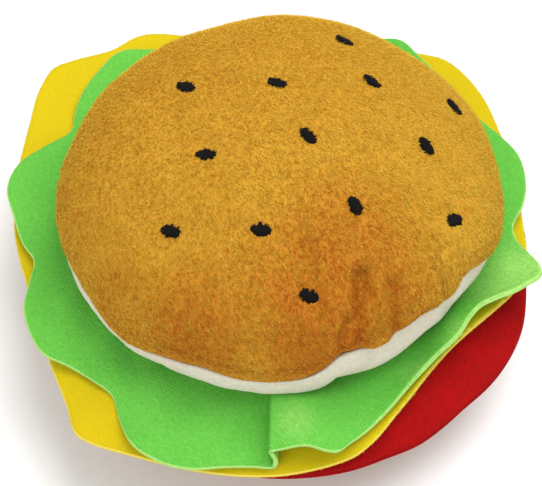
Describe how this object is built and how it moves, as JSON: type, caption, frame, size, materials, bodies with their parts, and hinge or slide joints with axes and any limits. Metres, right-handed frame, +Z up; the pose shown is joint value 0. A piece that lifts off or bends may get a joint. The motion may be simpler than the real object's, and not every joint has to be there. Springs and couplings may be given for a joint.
{
  "type": "plush hamburger toy",
  "caption": "Stuffed fabric hamburger toy: plush buns with felt lettuce, cheese, tomato and patty layers tacked together by one thread up the middle.",
  "frame": {"origin": "centre of the flat foot, on the surface that the toy stands on; the tack thread runs straight up from it through every layer", "axes": "+Z up through the stack of layers; -Y towards the viewer, where the felt sheets droop the most"},
  "size_m": [0.1574, 0.1636, 0.0928],
  "materials": {
    "bun_plush": "short-pile velboa plush, golden tan, airbrushed darker in places",
    "cream_lining": "short brushed tricot plush, cream",
    "seed_thread": "black satin-stitched embroidery thread",
    "lettuce_fleece": "brushed knit fleece, light green",
    "cheese_felt": "matte needled felt, yellow",
    "tomato_plush": "short-pile plush, mottled red",
    "patty_plush": "short-pile plush, dark brown",
    "polyester_fill": "loose white polyester fibre",
    "sewing_thread": "twisted polyester thread, tan"
  },
  "bodies": {
    "lower_bun": {"bottom_bun_heel": "bun_plush", "bottom_bun_stuffing": "polyester_fill", "bottom_bun_face": "cream_lining", "bottom_seam_thread": "sewing_thread", "tack_thread": "sewing_thread"},
    "patty": {"patty_lower": "patty_plush", "patty_upper": "patty_plush", "patty_wadding": "polyester_fill", "patty_seam_thread": "sewing_thread"},
    "tomato": {"tomato_lower": "tomato_plush", "tomato_upper": "tomato_plush"},
    "cheese": {"cheese_slice": "cheese_felt"},
    "lettuce": {"lettuce_leaf": "lettuce_fleece"},
    "upper_tack": {"upper_knot": "sewing_thread"},
    "upper_bun": {"top_bun_face": "cream_lining", "top_bun_stuffing": "polyester_fill", "top_seam_thread": "sewing_thread"},
    "crown": {"top_bun_crown": "bun_plush", "sesame_seed_01": "seed_thread", "sesame_seed_02": "seed_thread", "sesame_seed_03": "seed_thread", "sesame_seed_04": "seed_thread", "sesame_seed_05": "seed_thread", "sesame_seed_06": "seed_thread", "sesame_seed_07": "seed_thread", "sesame_seed_08": "seed_thread", "sesame_seed_09": "seed_thread", "sesame_seed_10": "seed_thread", "sesame_seed_11": "seed_thread", "sesame_seed_12": "seed_thread", "sesame_seed_13": "seed_thread"}
  },
  "joints": [
    {"name": "patty_turn", "type": "hinge", "parent": "lower_bun", "child": "patty", "pos_m": [0, 0, 0.0245], "axis": [0, 0, 1], "range_deg": [-8, 8]},
    {"name": "tomato_turn", "type": "hinge", "parent": "lower_bun", "child": "tomato", "pos_m": [0, 0, 0.035], "axis": [0, 0, 1], "range_deg": [-8, 8]},
    {"name": "cheese_turn", "type": "hinge", "parent": "lower_bun", "child": "cheese", "pos_m": [0, 0, 0.0384], "axis": [0, 0, 1], "range_deg": [-8, 8]},
    {"name": "lettuce_turn", "type": "hinge", "parent": "lower_bun", "child": "lettuce", "pos_m": [0, 0, 0.0404], "axis": [0, 0, 1], "range_deg": [-8, 8]},
    {"name": "top_bun_turn", "type": "hinge", "parent": "lower_bun", "child": "upper_tack", "pos_m": [0, 0, 0.0419], "axis": [0, 0, 1], "range_deg": [-12, 12]},
    {"name": "top_bun_rock", "type": "hinge", "parent": "upper_tack", "child": "upper_bun", "pos_m": [0, 0, 0.0419], "axis": [1, 0, 0], "range_deg": [-2.5, 2.5], "stiffness_Nm_per_rad": 0.8},
    {"name": "top_bun_squeeze", "type": "slide", "parent": "upper_bun", "child": "crown", "axis": [0, 0, -1], "range_m": [0, 0.006], "stiffness_N_per_m": 400, "deforming": ["top_bun_stuffing"]}
  ]
}
